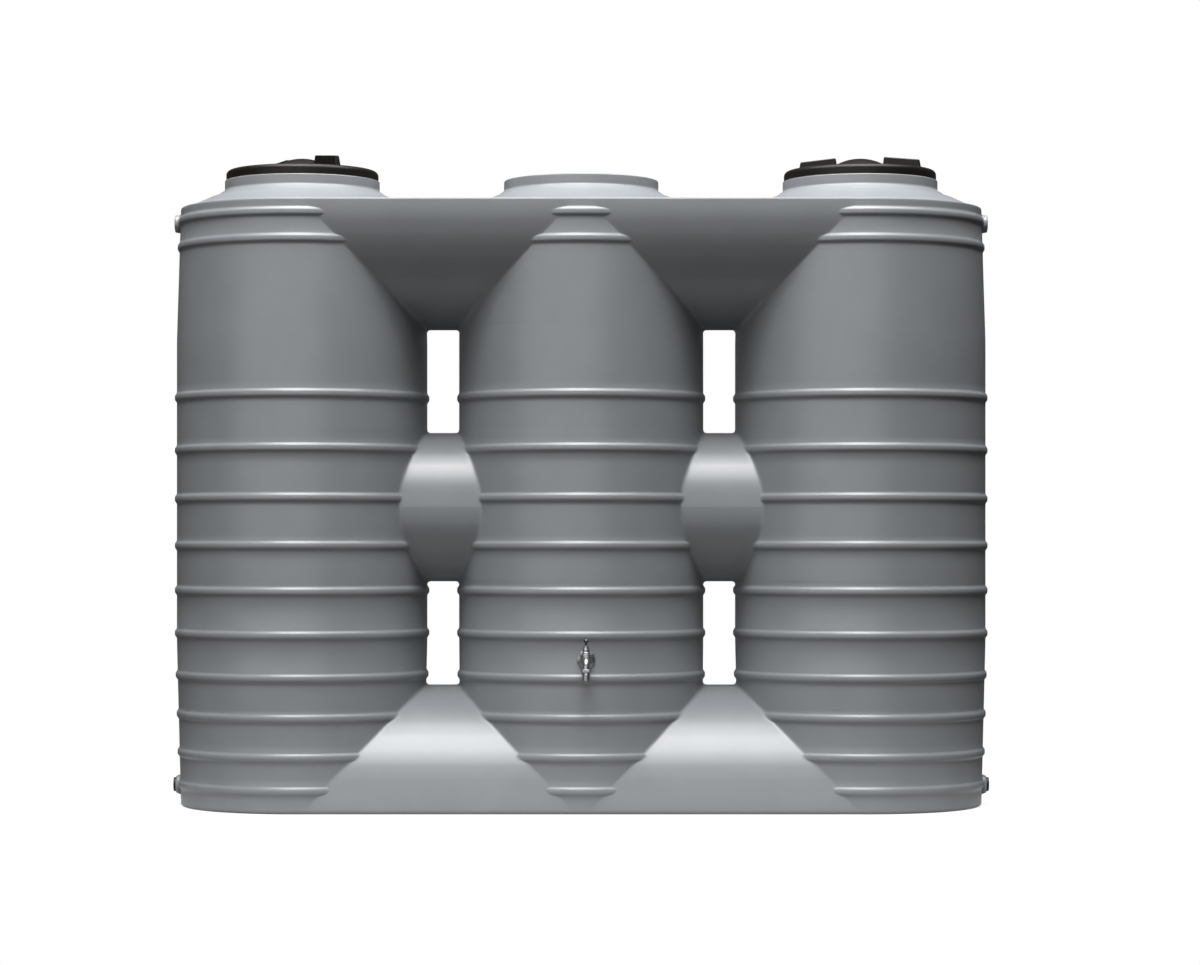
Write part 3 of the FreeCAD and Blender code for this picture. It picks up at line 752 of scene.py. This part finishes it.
def makeStrainerDish(v):
    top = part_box("strainer_dish")[1].z
    turn = fullTurn(v["columns"])
    thick, floorZ = v["thick"], top - v["depth"]
    centre = v["mouthRadius"] - v["dentReach"] + v["dentRadius"]
    sideways = centre * np.abs(np.sin(turn))
    meets = sideways < v["dentRadius"] + thick

    def wall(radius, grow):
        reach = np.sqrt(np.maximum((v["dentRadius"] + grow) ** 2 - sideways ** 2, 0))
        dent = np.where(meets, centre * np.abs(np.cos(turn)) - reach, far)
        return smoothMin(radius, dent, v["dentBlend"])

    def ring(radius, z):
        return stacked(radius * np.cos(turn), radius * np.sin(turn), z)

    # ring of the wall at a share of its depth, on its outer face or, by the thickness, on its inner one
    def wallRing(share, inward):
        radius = v["mouthRadius"] + (v["floorRadius"] - v["mouthRadius"]) * share
        return ring(wall(radius - inward, inward), top - v["depth"] * share)

    flat = v["flangeRadius"]
    under = top - thick
    outline = roundedOutline([(flat - 20 * mm, under), (flat, under, 1 * mm), (flat, top, 1.5 * mm),
                              (flat - 22 * mm, top)])
    rows = [ring(r, z) for r, z in outline]
    mouth = wall(v["mouthRadius"], 0)
    mouthInside = wall(v["mouthRadius"] - thick, thick)
    rows += [ring(mouth + 8 * mm, top), ring(mouth + 3 * mm, top),
             ring(mouthInside + 2.4 * mm, top - 0.2 * mm), ring(mouthInside + 0.7 * mm, top - 1.2 * mm),
             ring(mouthInside, top - 3 * mm)]
    rows += [wallRing(share, thick) for share in (0.15, 0.4, 0.7, 0.92)]
    foot = wall(v["floorRadius"] - thick, thick)
    rows += [ring(foot, floorZ + 2 * mm), ring(foot - 0.8 * mm, floorZ + 0.6 * mm),
             ring(foot - 2.2 * mm, floorZ)]
    lowestZ = floorZ - v["barThick"]
    inside = np.minimum(v["grateRadius"] - 1 * mm, foot - 4 * mm)
    rows += [ring(inside + 1 * mm, floorZ), ring(inside, floorZ - 0.5 * mm), ring(inside, lowestZ)]
    outerFoot = wall(v["floorRadius"], 0)
    rows += [ring(outerFoot - 3 * mm, lowestZ), ring(outerFoot - 0.5 * mm, lowestZ + 0.8 * mm),
             ring(outerFoot, lowestZ + 3 * mm)]
    rows += [wallRing(share, 0) for share in (0.7, 0.4, 0.15)]
    rows += [ring(mouth, under - 3 * mm), ring(mouth + 1 * mm, under - 1 * mm), ring(mouth + 3 * mm, under)]
    rows.append(rows[0])
    dish = gridsObject("strainerDish", [(np.array(rows), True)])
    half, r = (v["slotLength"] - v["slotWidth"]) / 2, v["slotWidth"] / 2
    lean = fullTurn(32) - math.pi / 2
    shift = np.where(np.arange(32) <= 16, half, -half)
    for way in (-1, 1):
        ends = [stacked(way * v["slotPlace"] + shift + r * np.cos(lean), r * np.sin(lean), z)
                for z in (under - 5 * mm, top + 5 * mm)]
        cutter = gridsObject(f"lugSlot{way}", [(np.array(ends), True)], caps=ends)
        modifier = dish.modifiers.new("slot", "BOOLEAN")
        modifier.operation = "DIFFERENCE"
        modifier.object = cutter
        modifier.solver = "EXACT"
        applyModifiers(dish)
        bpy.data.objects.remove(cutter)
    dish.data.set_sharp_from_angle(angle=math.radians(40))
    finishPiece(dish, "tank", strainerPlastic, ["strainer_dish"])


# Bars of the grate by rule: in each of its sectors they run beside the spoke and meet the next sector's bars
# on the line halfway between two spokes
def grateTree(inputs):
    tree = bpy.data.node_groups.new("strainerGrate", "GeometryNodeTree")
    identifiers = []
    for name, kind, value in inputs:
        socket = tree.interface.new_socket(name=name, in_out="INPUT", socket_type=f"NodeSocket{kind}")
        socket.default_value = value
        identifiers.append(socket.identifier)
    tree.interface.new_socket(name="Geometry", in_out="OUTPUT", socket_type="NodeSocketGeometry")
    given = tree.nodes.new("NodeGroupInput").outputs
    radius, pitch, width, spokeWidth, thick = (given[name] for name in (
        "Grate Radius", "Bar Pitch", "Bar Width", "Spoke Width", "Bar Thickness"))

    def calc(operation, *values):
        return maths(tree, operation, *values)

    def times(a, b):
        return calc("MULTIPLY", a, b)

    def minus(a, b):
        return calc("SUBTRACT", a, b)

    def vector(*values):
        return wired(tree, "ShaderNodeCombineXYZ", *values)

    index = addNode(tree, "GeometryNodeInputIndex").outputs[0]
    # index 0 is the spoke itself, odd ones lie on one side of it and even ones on the other
    row = calc("FLOOR", calc("DIVIDE", calc("ADD", index, 1), 2))
    way = minus(times(calc("MODULO", index, 2), 2), 1)
    halfWidth = times(width, 0.5)
    toFirst = calc("MULTIPLY_ADD", spokeWidth, 0.5, minus(pitch, halfWidth))
    isSpoke = calc("LESS_THAN", row, 0.5)
    offset = times(minus(1, isSpoke), calc("MULTIPLY_ADD", minus(row, 1), pitch, toFirst))
    halfSector = calc("DIVIDE", math.pi, given["Spokes"])
    # a bar starts at the line halfway to the next spoke and ends at the rim
    start = calc("MAXIMUM", calc("DIVIDE", minus(offset, halfWidth), calc("TANGENT", halfSector)), 0.0)
    end = calc("SQRT", minus(times(radius, radius), times(offset, offset)))
    length = minus(end, start)
    middle = times(calc("ADD", start, end), 0.5)
    across = calc("MULTIPLY_ADD", isSpoke, minus(spokeWidth, width), width)
    height = minus(given["Top Height"], times(thick, 0.5))
    barCount = calc("MULTIPLY_ADD", given["Bars Per Side"], 2, 1)
    line = addNode(tree, "GeometryNodeMeshLine", {"Offset": (0, 0, 0)}, {"Count": barCount})
    placed = addNode(tree, "GeometryNodeSetPosition", links={
        "Geometry": line.outputs[0], "Position": vector(middle, times(offset, way), height)})
    box = addNode(tree, "GeometryNodeMeshCube", {"Size": (1, 1, 1)})
    bars = addNode(tree, "GeometryNodeInstanceOnPoints", links={
        "Points": placed.outputs[0], "Instance": box.outputs[0], "Scale": vector(length, across, thick)})
    sectors = addNode(tree, "GeometryNodeMeshLine", {"Offset": (0, 0, 0)}, {"Count": given["Spokes"]})
    turn = times(index, times(halfSector, 2))
    around = addNode(tree, "GeometryNodeInstanceOnPoints", links={
        "Points": sectors.outputs[0], "Instance": bars.outputs[0], "Rotation": vector(0, 0, turn)})
    real = addNode(tree, "GeometryNodeRealizeInstances", links={"Geometry": around.outputs[0]})
    hub = addNode(tree, "GeometryNodeMeshCylinder", {"Vertices": 32},
                  {"Radius": given["Hub Radius"], "Depth": thick})
    hubPlaced = addNode(tree, "GeometryNodeTransform", links={
        "Geometry": hub.outputs["Mesh"], "Translation": vector(0, 0, height)})
    both = addNode(tree, "GeometryNodeJoinGeometry", links={0: real.outputs[0]})
    tree.links.new(hubPlaced.outputs[0], both.inputs[0])
    painted = addNode(tree, "GeometryNodeSetMaterial", links={
        "Geometry": both.outputs[0], "Material": given["Material"]})
    addNode(tree, "NodeGroupOutput", links={0: painted.outputs[0]})
    return tree, identifiers


def makeStrainerGrate(v):
    perSide = int((v["grateRadius"] * math.sin(math.pi / v["spokes"]) - v["spokeWidth"] / 2) / v["barPitch"])
    inputs = (
        ("Grate Radius", "Float", v["grateRadius"]), ("Bar Pitch", "Float", v["barPitch"]),
        ("Bar Width", "Float", v["barWidth"]), ("Spoke Width", "Float", v["spokeWidth"]),
        ("Bar Thickness", "Float", v["barThick"]), ("Hub Radius", "Float", v["hubRadius"]),
        ("Top Height", "Float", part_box("strainer_grate")[1].z), ("Spokes", "Int", v["spokes"]),
        ("Bars Per Side", "Int", perSide), ("Material", "Material", strainerPlastic))
    tree, identifiers = grateTree(inputs)
    grate = addObject("strainerGrate", bpy.data.meshes.new("strainerGrate"))
    modifier = grate.modifiers.new("grate", "NODES")
    modifier.node_group = tree
    for identifier, row in zip(identifiers, inputs):
        modifier[identifier] = row[2]
    applyModifiers(grate)
    finishPiece(grate, "tank", strainerPlastic, ["strainer_grate"])


makeStrainerDish(strainerValues)
makeStrainerGrate(strainerValues)
report("strainer made")


# Overflow bosses high on the ends, and plugged outlet bosses low on them

portValues = {
    "overflow": {"height": 1722 * mm, "foot": 28 * mm, "tip": 25 * mm, "proud": 18 * mm, "bore": 17 * mm},
    "outlet": {"height": 60 * mm, "foot": 31 * mm, "tip": 25 * mm, "proud": 15 * mm, "bore": 17 * mm},
    "plugHead": 21 * mm,
    "plugThick": 7 * mm,
    "plugGap": 0.05 * mm,
    "plugSocket": 8.5 * mm,
    "plugSocketDepth": 10 * mm,
    "sunk": 5 * mm,
}


def makePorts(v):
    for side, way in (("left", -1), ("right", 1)):
        # the outlet comes last, and its boss carries the plug
        for kind in ("overflow", "outlet"):
            p = v[kind]
            place = (0, 0, p["height"])
            tip = abs(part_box(f"{side}_{kind}_boss")[0 if way < 0 else 1].x)
            slope = (p["foot"] - p["tip"]) / p["proud"]
            inside = tip - p["proud"] - v["sunk"]
            corners = [
                (p["bore"], inside, 0), (p["bore"], tip, 1.2 * mm), (p["tip"], tip, 2.5 * mm),
                (p["foot"] + slope * v["sunk"], inside, 0),
            ]
            boss = turnedPiece(f"{side}{kind.capitalize()}Boss", corners, place, "X", way=way, closed=True)
            finishPiece(boss, "tank", greyPlastic, [f"{side}_{kind}_boss"])
        face, seat = tip + v["plugThick"], tip + v["plugGap"]
        shank, root, floor = p["bore"] - 0.2 * mm, tip - p["proud"], face - v["plugSocketDepth"]
        corners = [
            (0, root), (shank, root, 1 * mm), (shank, seat, 0.3 * mm), (v["plugHead"], seat, 0.8 * mm),
            (v["plugHead"], face, 1.8 * mm), (v["plugSocket"], face, 0.8 * mm),
            (v["plugSocket"], floor, 1 * mm), (0, floor),
        ]
        plug = turnedPiece(f"{side}OutletPlug", corners, place, "X", way=way)
        finishPiece(plug, "tank", blackPlastic, [f"{side}_outlet_plug"])


makePorts(portValues)
report("ports made")


# Bib tap on the middle barrel

tapValues = {
    "x": 14 * mm,
    "height": 443 * mm,
    "flangeRadius": 26 * mm,
    "flangeThick": 9 * mm,
    "armRadius": 12 * mm,
    "armSunk": 18 * mm,
    "tailRadius": 10 * mm,
    "beltProud": 2.2 * mm,
    "chamberRadius": 17 * mm,
    "chamberHalf": 17 * mm,
    "bendRadius": 20 * mm,
    "spoutRadius": 11 * mm,
    "collarRadius": 15 * mm,
    "boreRadius": 8 * mm,
    "boreDepth": 22 * mm,
    "drop": 57 * mm,
    "bonnetRadius": 12 * mm,
    "bonnetTip": 7 * mm,
    "bonnetRise": 24 * mm,
    "spindleRadius": 3.5 * mm,
    "spindleRise": 14 * mm,
    "handleGap": 0.3 * mm,
    "handleHalf": 27 * mm,
    "handleWidth": 14 * mm,
    "handleThick": 11 * mm,
    "columns": 48,
    "bendRows": 12,
    "barRows": 32,
}


def makeTap(v):
    x, z = v["x"], v["height"]
    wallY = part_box("tap_flange")[0].y + v["flangeThick"]
    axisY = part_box("tap_nozzle")[0].y + v["spoutRadius"] + v["bendRadius"] + v["chamberRadius"]
    thick, outer, core = v["flangeThick"], v["flangeRadius"], v["armRadius"] - 1 * mm
    rim = thick / 3
    flange = turnedPiece("tapFlange", [
        (core, -3 * mm), (outer, -3 * mm), (outer, rim, 1.2 * mm), (outer - 5 * mm, rim + 2.5 * mm, 3 * mm),
        (v["armRadius"] + rim, thick, 1.5 * mm), (core, thick, 0)], (x, wallY, z), "Y", way=-1, closed=True)
    finishPiece(flange, "tank", chrome, ["tap_flange"])

    reach, r = wallY - axisY, v["armRadius"]
    belt = r + v["beltProud"]
    arm = turnedPiece("tapBody", [
        (0, -v["armSunk"]), (v["tailRadius"], -v["armSunk"], 1 * mm), (v["tailRadius"], 0), (r, 0),
        (r, reach * 0.42, 1 * mm), (belt, reach * 0.45, 1 * mm), (belt, reach * 0.6, 1 * mm),
        (r, reach * 0.63, 1 * mm), (r, reach), (0, reach)], (x, wallY, z), "Y", 48, -1)
    half, r = v["chamberHalf"], v["chamberRadius"]
    chamber = turnedPiece("tapChamber", [
        (0, -half), (r - 5 * mm, -half, 2 * mm), (r - 0.6 * mm, -half * 0.62, 5 * mm),
        (r, -half * 0.35, 4 * mm), (r, half * 0.45, 4 * mm), (r - 2 * mm, half * 0.8, 2 * mm),
        (r - 2 * mm, half, 1 * mm), (0, half)], (x, axisY, z))
    # the spout goes out of the chamber, round a bend and down, with its bore open from below
    bend, foot, down = v["bendRadius"], z - v["drop"], math.pi / 2
    tip, collar, bore = v["spoutRadius"], v["collarRadius"], v["boreRadius"]
    pipe, neck = tip - 0.6 * mm, tip - 1 * mm
    endY = axisY - r - bend
    around = fullTurn(v["columns"])

    def pipeRing(y, height, lean, radius):
        up = radius * np.sin(around)
        return stacked(x + radius * np.cos(around), y - up * math.sin(lean), height + up * math.cos(lean))

    starts = ((axisY, 0.0), (axisY, pipe), (axisY - r * 0.8, pipe))
    rows = [pipeRing(y, z, 0.0, radius) for y, radius in starts]
    for i in range(v["bendRows"] + 1):
        turn = down * i / v["bendRows"]
        rows.append(pipeRing(axisY - r - bend * math.sin(turn), z - bend * (1 - math.cos(turn)), turn, pipe))
    rows.append(pipeRing(endY, foot + 35 * mm, down, pipe))
    for radius, rise in roundedOutline([
            (pipe, 35 * mm), (pipe, 33 * mm, 0.4 * mm), (collar, 32 * mm, 1.2 * mm),
            (collar, 25 * mm, 1.2 * mm), (neck, 24 * mm, 0.6 * mm), (neck, 20 * mm, 0.4 * mm),
            (tip, 19 * mm, 0.6 * mm), (tip, 0, 1.2 * mm), (bore, 0, 0.8 * mm), (bore, v["boreDepth"])])[1:]:
        ring = pipeRing(endY, foot + rise, down, radius)
        # the collar has flats for a spanner in front and behind
        ring[:, 1] = np.clip(ring[:, 1], endY - tip, endY + tip)
        rows.append(ring)
    rows.append(pipeRing(endY, foot + v["boreDepth"], down, 0.0))
    spout = gridsObject("tapSpout", [(np.array(rows), True)])
    finishPiece(joined([arm, chamber, spout]), "tank", chrome, ["tap_body", "tap_nozzle"])

    top = z + half
    wide, narrow, rise = v["bonnetRadius"], v["bonnetTip"], v["bonnetRise"]
    bonnet = turnedPiece("tapBonnet", [
        (0, -1 * mm), (wide, -1 * mm), (wide, 4 * mm, 1 * mm), (wide - 1.2 * mm, 5.5 * mm, 1 * mm),
        (narrow + 2 * mm, 15 * mm, 2 * mm), (narrow + 0.6 * mm, 16 * mm, 1 * mm), (narrow, rise, 1.2 * mm),
        (0, rise)], (x, axisY, top))
    finishPiece(bonnet, "tank", chrome, ["tap_bonnet"])

    base = top + rise + v["handleGap"]
    r, tip = v["spindleRadius"], v["spindleRise"] - 4 * mm
    spindle = turnedPiece("tapHandle", [(0, 0), (r, 0, 0.3 * mm), (r, tip), (0, tip)],
                          (x, axisY, base), columns=32)
    # the bar is waisted beside the spindle and has round ends, as a cast handle does
    rows = []
    middle = base + v["spindleRise"]
    for share in np.linspace(-1, 1, v["barRows"] + 1):
        size = 0.62 + 0.38 * smoothStep(abs(share) * 1.6 - 0.35)
        size *= math.sqrt(max(0.0, 1 - max(0.0, (abs(share) - 0.74) / 0.26) ** 2))
        across = np.cos(around) * v["handleWidth"] / 2 * size
        up = np.sin(around) * v["handleThick"] / 2 * size
        rows.append(stacked(x + across, axisY + share * v["handleHalf"], middle + up))
    bar = gridsObject("tapBar", [(np.array(rows), True)])
    finishPiece(joined([spindle, bar]), "tap_handle", handleMetal, ["tap_handle"])
    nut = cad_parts["tap_backnut"]
    nut.data.materials.clear()
    nut.data.materials.append(chrome)


makeTap(tapValues)
report("tap made")


# Light and floor

stageValues = {
    "keyStrength": 3.2,            # watts per square metre
    "keyElevation": 61,            # degrees above the horizon, in front of the tank
    "keyTurn": 5,                  # degrees to the left
    "keySpread": 28,               # degrees that the key light spans
    "overheadPower": 540,
    "overheadSize": (6.0, 3.0),
    "overheadPlace": (0, -0.7, 5.4),
    "overheadAim": (0, -0.4, 0),
    "fillPower": 475,
    "fillSize": (18.5, 3.0),
    "fillPlace": (-3.75, -10.5, 2.0),
    "backPower": 800,
    "backSize": (8.0, 4.0),
    "backPlace": (0, 8.5, 2.0),
    "sideAim": (0, 0, 0.9),        # where the front and back lights point
    "worldStrength": 0.02,
    "mirroredWhite": 0.05,         # share of the white surroundings that plastic and metal mirror
    # painted shade and light: bounced rays see the floor in these colours, dark away from the tank and
    # lighter beside it, while the camera sees it white
    "paintedShadeBounceColour": "#181818",
    "paintedLightPoolColour": "#a8a8a8",  # painted light: a lighter pool of floor colour beside the tank, which bounces extra light onto its foot and undersides
    "footprint": (0.827, 0.37),    # half length of the row's axis and radius of its ends
    "nearReach": 0.62,             # metres from the foot at which the painted pool of light has faded
    "floorSeen": "#e8e8e8",
    "floorWhite": 0.8,             # plain white share of the floor beside the tank
    "whiteFrom": 1.3,              # metres from the middle at which the floor starts to go all white
    "whiteAt": 2.4,
    "floorHalf": 30,
}


def addLamp(name, kind, place, towards, **settings):
    data = bpy.data.lights.new(name, kind)
    for key, value in settings.items():
        setattr(data, key, value)
    lamp = addObject(name, data)
    lamp.location = place
    lamp.rotation_euler = Vector(towards).to_track_quat("-Z", "Y").to_euler()
    return lamp


# The key is what the lamp's own values are named by
def areaLight(s, name, key, aim):
    place, (width, height) = s[f"{key}Place"], s[f"{key}Size"]
    return addLamp(name, "AREA", place, Vector(aim) - Vector(place),
                   energy=s[f"{key}Power"], shape="RECTANGLE", size=width, size_y=height)


# Very large softbox far away, so that it lights the tank evenly from top to foot
def keyLight(s):
    up, turn = math.radians(s["keyElevation"]), math.radians(s["keyTurn"])
    towards = (math.sin(turn) * math.cos(up), math.cos(turn) * math.cos(up), -math.sin(up))
    addLamp("keySoftbox", "SUN", (0, 0, 0), towards,
            energy=s["keyStrength"], angle=math.radians(s["keySpread"]))


# Share of plain white that a ray sees: all of it for the camera, part of it for mirrored and let-through rays
def whiteShare(tree, s):
    ray = addNode(tree, "ShaderNodeLightPath").outputs
    other = maths(tree, "MAXIMUM", ray["Is Glossy Ray"], ray["Is Transmission Ray"])
    part = maths(tree, "MULTIPLY", other, s["mirroredWhite"])
    return maths(tree, "MAXIMUM", ray["Is Camera Ray"], part), ray["Is Camera Ray"]


# Fades from one value to another as a vector's length grows from near to away
def lengthFade(tree, vector, near, away, atNear, atAway):
    reach = addNode(tree, "ShaderNodeVectorMath", links={0: vector}, operation="LENGTH").outputs["Value"]
    return addNode(tree, "ShaderNodeMapRange", {
        "From Min": near, "From Max": away, "To Min": atNear, "To Max": atAway}, {"Value": reach},
        interpolation_type="SMOOTHSTEP").outputs["Result"]


# Matt floor. The camera sees it as white, less what the tank's shadow takes away close to it. For bounced
# light its colour is painted: dark away from the tank, with a lighter pool beside the tank's foot that stands
# in for light on the tank's undersides
def floorMaterial(s):
    material, tree, shader = newMaterial(
        "matt white studio floor", {"Roughness": 1.0, "Specular IOR Level": 0.0})
    share, camera = whiteShare(tree, s)
    place = addNode(tree, "ShaderNodeTexCoord").outputs["Object"]
    halfLength, endRadius = s["footprint"]
    side = wired(tree, "ShaderNodeVectorMath", place, operation="ABSOLUTE")
    past = wired(tree, "ShaderNodeVectorMath", side, (halfLength, 0, 0), operation="SUBTRACT")
    beside = wired(tree, "ShaderNodeVectorMath", past, (0, 0, 0), operation="MAXIMUM")
    near = lengthFade(tree, beside, endRadius, endRadius + s["nearReach"], 1.0, 0.0)
    # painted light and shade in the colour that bounced rays see: a light pool near the tank's foot, dark
    # farther off
    bounce = addNode(tree, "ShaderNodeMix", {6: linear(s["paintedShadeBounceColour"]), 7: linear(s["paintedLightPoolColour"])},
                     {0: near}, data_type="RGBA")
    seen = addNode(tree, "ShaderNodeMix", {7: linear(s["floorSeen"])}, {0: camera, 6: bounce.outputs[2]},
                   data_type="RGBA")
    tree.links.new(seen.outputs[2], shader.inputs["Base Color"])
    plain = lengthFade(tree, place, s["whiteFrom"], s["whiteAt"], s["floorWhite"], 1.0)
    white = addNode(tree, "ShaderNodeEmission", {"Color": (1, 1, 1, 1), "Strength": 1.0})
    mix = wired(tree, "ShaderNodeMixShader", maths(tree, "MULTIPLY", share, plain), shader.outputs[0],
                white.outputs[0])
    output = next(node for node in tree.nodes if node.type == "OUTPUT_MATERIAL")
    tree.links.new(mix, output.inputs["Surface"])
    return material


def makeStage(s):
    keyLight(s)
    areaLight(s, "overheadSoftbox", "overhead", s["overheadAim"])
    areaLight(s, "frontFill", "fill", s["sideAim"])
    # lights the back for other views, and isn't mirrored, so that the front keeps its dark edges
    back = areaLight(s, "backFill", "back", s["sideAim"])
    back.visible_camera = back.visible_glossy = False
    world = bpy.data.worlds.new("studio")
    bpy.context.scene.world = world
    world.use_nodes = True
    tree = world.node_tree
    tree.nodes.clear()
    plain, white = (addNode(tree, "ShaderNodeBackground", {"Color": (1, 1, 1, 1), "Strength": strength})
                    for strength in (s["worldStrength"], 1.0))
    mix = wired(tree, "ShaderNodeMixShader", whiteShare(tree, s)[0], plain.outputs[0], white.outputs[0])
    addNode(tree, "ShaderNodeOutputWorld", links={"Surface": mix})
    h = s["floorHalf"]
    floor = meshObject("studioFloor", [(-h, -h, 0), (h, -h, 0), (h, h, 0), (-h, h, 0)], [(0, 1, 2, 3)])
    floor.data.materials.append(floorMaterial(s))
    report("stage made")


makeStage(stageValues)

bpy.context.scene.view_settings.view_transform = "Standard"
